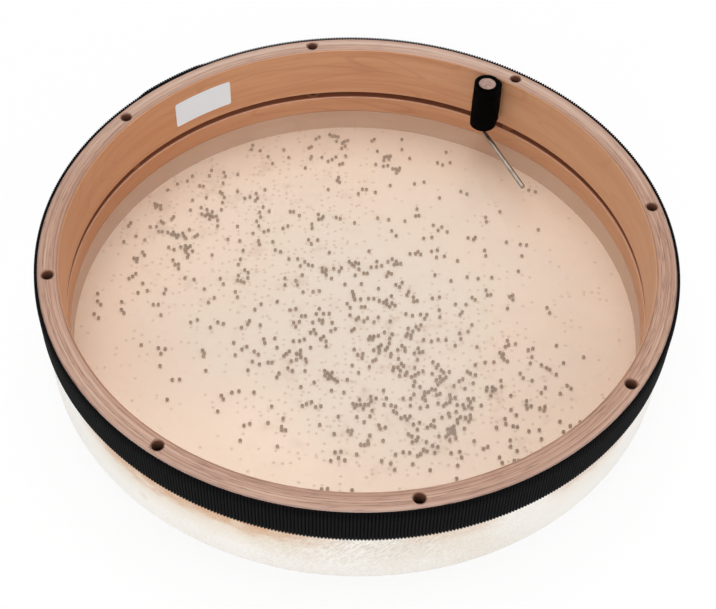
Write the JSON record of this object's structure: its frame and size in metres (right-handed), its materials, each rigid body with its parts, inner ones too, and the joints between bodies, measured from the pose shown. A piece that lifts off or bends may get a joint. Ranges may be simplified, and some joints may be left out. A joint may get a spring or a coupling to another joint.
{
  "type": "ocean drum",
  "caption": "Round hand drum with a hide head, a clear film over it and loose steel shot between the two that rolls with the sound of surf; screws sunk in the rim tune the hide.",
  "frame": {"origin": "middle of the face that the drum stands on, the outside of the hide head", "axes": "+Z is the drum's axis, up towards the open rim; +X is to the right of the picture"},
  "size_m": [0.404, 0.404, 0.0767],
  "materials": {
    "plywood": "bent beech plywood, oiled",
    "clear_film": "clear polyester film",
    "hide": "natural hide, translucent",
    "ribbon": "ribbed woven ribbon",
    "insert_brass": "turned",
    "bright_steel": "plain",
    "screw_steel": "blackened",
    "shot_steel": "tumbled balls",
    "key_steel": "nickel plated",
    "dowel_wood": "end grain showing",
    "black_sleeve": "soft black pile",
    "hook_tape": "black hook tape"
  },
  "bodies": {
    "base": {"hide_head": "hide", "chamber_hoop": "plywood", "clear_head": "clear_film", "tuning_hoop": "plywood", "thrust_discs": "bright_steel"},
    "frame": {"frame_hoop": "plywood", "trim_ribbon": "ribbon", "threaded_inserts": "insert_brass", "key_patch": "hook_tape"},
    "key": {"key_rod": "key_steel", "key_dowel": "dowel_wood", "key_sleeve": "black_sleeve"},
    "tuning_screw_1": {"tuning_screw_1": "screw_steel"},
    "tuning_screw_2": {"tuning_screw_2": "screw_steel"},
    "tuning_screw_3": {"tuning_screw_3": "screw_steel"},
    "tuning_screw_4": {"tuning_screw_4": "screw_steel"},
    "tuning_screw_5": {"tuning_screw_5": "screw_steel"},
    "tuning_screw_6": {"tuning_screw_6": "screw_steel"},
    "tuning_screw_7": {"tuning_screw_7": "screw_steel"},
    "tuning_screw_8": {"tuning_screw_8": "screw_steel"},
    "shot_inner": {"shot_inner": "shot_steel"},
    "shot_middle": {"shot_middle": "shot_steel"},
    "shot_outer": {"shot_outer": "shot_steel"}
  },
  "joints": [
    {"name": "tuning_lift", "type": "slide", "parent": "base", "child": "frame", "axis": [0, 0, 1], "range_m": [-0.004, 0.003], "deforming": ["hide_head"]},
    {"name": "key_pull", "type": "slide", "parent": "frame", "child": "key", "axis": [-0.4939, -0.8695, 0], "range_m": [0, 0.06]},
    {"name": "tuning_screw_1_turn", "type": "hinge", "parent": "base", "child": "tuning_screw_1", "pos_m": [-0.16107, 0.10742, 0.035], "axis": [0, 0, -1], "range_deg": [-1445, 1085]},
    {"name": "tuning_screw_2_turn", "type": "hinge", "parent": "base", "child": "tuning_screw_2", "pos_m": [-0.18985, -0.03794, 0.035], "axis": [0, 0, -1], "range_deg": [-1445, 1085]},
    {"name": "tuning_screw_3_turn", "type": "hinge", "parent": "base", "child": "tuning_screw_3", "pos_m": [-0.10742, -0.16107, 0.035], "axis": [0, 0, -1], "range_deg": [-1445, 1085]},
    {"name": "tuning_screw_4_turn", "type": "hinge", "parent": "base", "child": "tuning_screw_4", "pos_m": [0.03794, -0.18985, 0.035], "axis": [0, 0, -1], "range_deg": [-1445, 1085]},
    {"name": "tuning_screw_5_turn", "type": "hinge", "parent": "base", "child": "tuning_screw_5", "pos_m": [0.16107, -0.10742, 0.035], "axis": [0, 0, -1], "range_deg": [-1445, 1085]},
    {"name": "tuning_screw_6_turn", "type": "hinge", "parent": "base", "child": "tuning_screw_6", "pos_m": [0.18985, 0.03794, 0.035], "axis": [0, 0, -1], "range_deg": [-1445, 1085]},
    {"name": "tuning_screw_7_turn", "type": "hinge", "parent": "base", "child": "tuning_screw_7", "pos_m": [0.10742, 0.16107, 0.035], "axis": [0, 0, -1], "range_deg": [-1445, 1085]},
    {"name": "tuning_screw_8_turn", "type": "hinge", "parent": "base", "child": "tuning_screw_8", "pos_m": [-0.03794, 0.18985, 0.035], "axis": [0, 0, -1], "range_deg": [-1445, 1085]},
    {"name": "shot_inner_swirl", "type": "hinge", "parent": "base", "child": "shot_inner", "pos_m": [0, 0, 0.0019], "axis": [0, 0, 1], "continuous": true},
    {"name": "shot_middle_swirl", "type": "hinge", "parent": "base", "child": "shot_middle", "pos_m": [0, 0, 0.0019], "axis": [0, 0, 1], "continuous": true},
    {"name": "shot_outer_swirl", "type": "hinge", "parent": "base", "child": "shot_outer", "pos_m": [0, 0, 0.0019], "axis": [0, 0, 1], "continuous": true}
  ],
  "couplings": [
    {"joint": "tuning_screw_1_turn", "follows": "tuning_lift", "rad_per_m": 6283.2},
    {"joint": "tuning_screw_2_turn", "follows": "tuning_lift", "rad_per_m": 6283.2},
    {"joint": "tuning_screw_3_turn", "follows": "tuning_lift", "rad_per_m": 6283.2},
    {"joint": "tuning_screw_4_turn", "follows": "tuning_lift", "rad_per_m": 6283.2},
    {"joint": "tuning_screw_5_turn", "follows": "tuning_lift", "rad_per_m": 6283.2},
    {"joint": "tuning_screw_6_turn", "follows": "tuning_lift", "rad_per_m": 6283.2},
    {"joint": "tuning_screw_7_turn", "follows": "tuning_lift", "rad_per_m": 6283.2},
    {"joint": "tuning_screw_8_turn", "follows": "tuning_lift", "rad_per_m": 6283.2}
  ]
}
